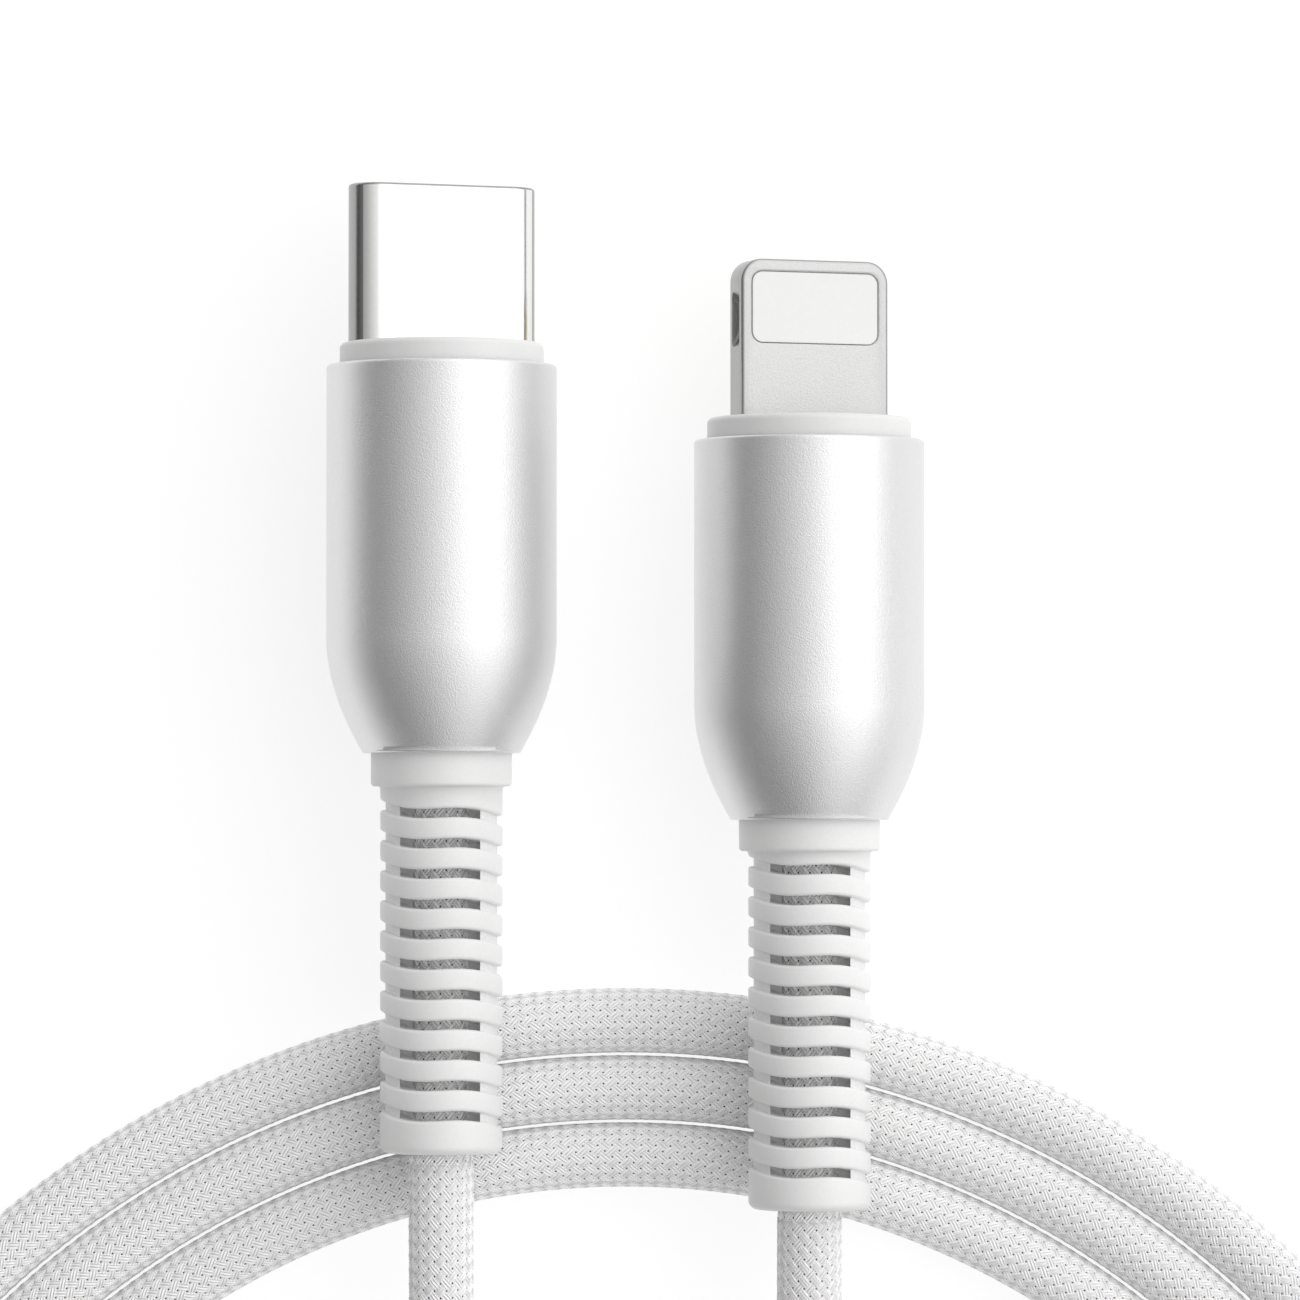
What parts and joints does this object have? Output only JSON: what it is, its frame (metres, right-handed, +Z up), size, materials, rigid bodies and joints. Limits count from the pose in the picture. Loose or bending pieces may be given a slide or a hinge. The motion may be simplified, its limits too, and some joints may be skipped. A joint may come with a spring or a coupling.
{
  "type": "charging cable",
  "caption": "Braided charging cable with USB-C and flat-tab phone plugs, ribbed boots, and a cord coiled in a strap.",
  "frame": {"origin": "on the supporting surface, midway between the plugs and midway along them, so under the centre of the box round both plugs without the cord", "axes": "+Z up from the supporting surface, +Y along the plugs towards their tips, +X from the USB-C plug to the phone plug"},
  "size_m": [0.0722, 0.0965, 0.0101],
  "materials": {
    "housing": "satin silver-white, fine blasted grain",
    "boot": "satin white elastomer",
    "braid": "white woven nylon braid",
    "steel": "plain steel",
    "white_plastic": "satin white",
    "board": "green solder mask",
    "black_plastic": "matt black",
    "wire_red": "satin",
    "wire_black": "satin",
    "wire_white": "satin",
    "wire_green": "satin",
    "polished_shell": "polished",
    "contacts": "gold plated",
    "tab": "satin, fine blasted grain",
    "pad_block": "satin white insert",
    "strap": "white hook-and-loop strap"
  },
  "bodies": {
    "cord": {"cord_end_usb_c": "braid", "cord_end_phone": "braid", "cord_outer_turns": "braid", "cord_inner_turns": "braid", "cable_tie": "strap"},
    "usb_c_plug": {"usb_c_housing": "housing", "usb_c_boot": "boot", "usb_c_cord_core": "braid", "usb_c_crimp": "steel", "usb_c_inner_mould": "white_plastic", "usb_c_board": "board", "usb_c_chip": "black_plastic", "usb_c_power_wire": "wire_red", "usb_c_ground_wire": "wire_black", "usb_c_data_wire_a": "wire_white", "usb_c_data_wire_b": "wire_green", "usb_c_collar": "white_plastic", "usb_c_shell": "polished_shell", "usb_c_insulator": "black_plastic", "usb_c_contacts_upper": "contacts", "usb_c_contacts_lower": "contacts", "usb_c_latch": "steel"},
    "phone_plug": {"phone_housing": "housing", "phone_boot": "boot", "phone_cord_core": "braid", "phone_crimp": "steel", "phone_inner_mould": "white_plastic", "phone_board": "board", "phone_chip": "black_plastic", "phone_power_wire": "wire_red", "phone_ground_wire": "wire_black", "phone_data_wire_a": "wire_white", "phone_data_wire_b": "wire_green", "phone_collar": "white_plastic", "phone_tab": "tab", "phone_pad_block": "pad_block", "phone_contacts": "contacts"}
  },
  "joints": [
    {"name": "usb_c_plug_bend", "type": "hinge", "parent": "cord", "child": "usb_c_plug", "pos_m": [-0.00785, -0.01163, 0.0056], "axis": [1, 0, 0], "range_deg": [0, 60], "stiffness_Nm_per_rad": 0.002, "deforming": ["usb_c_boot", "usb_c_cord_core"]},
    {"name": "phone_plug_bend", "type": "hinge", "parent": "cord", "child": "phone_plug", "pos_m": [0.00785, -0.01423, 0.0056], "axis": [1, 0, 0], "range_deg": [0, 60], "stiffness_Nm_per_rad": 0.002, "deforming": ["phone_boot", "phone_cord_core"]}
  ]
}
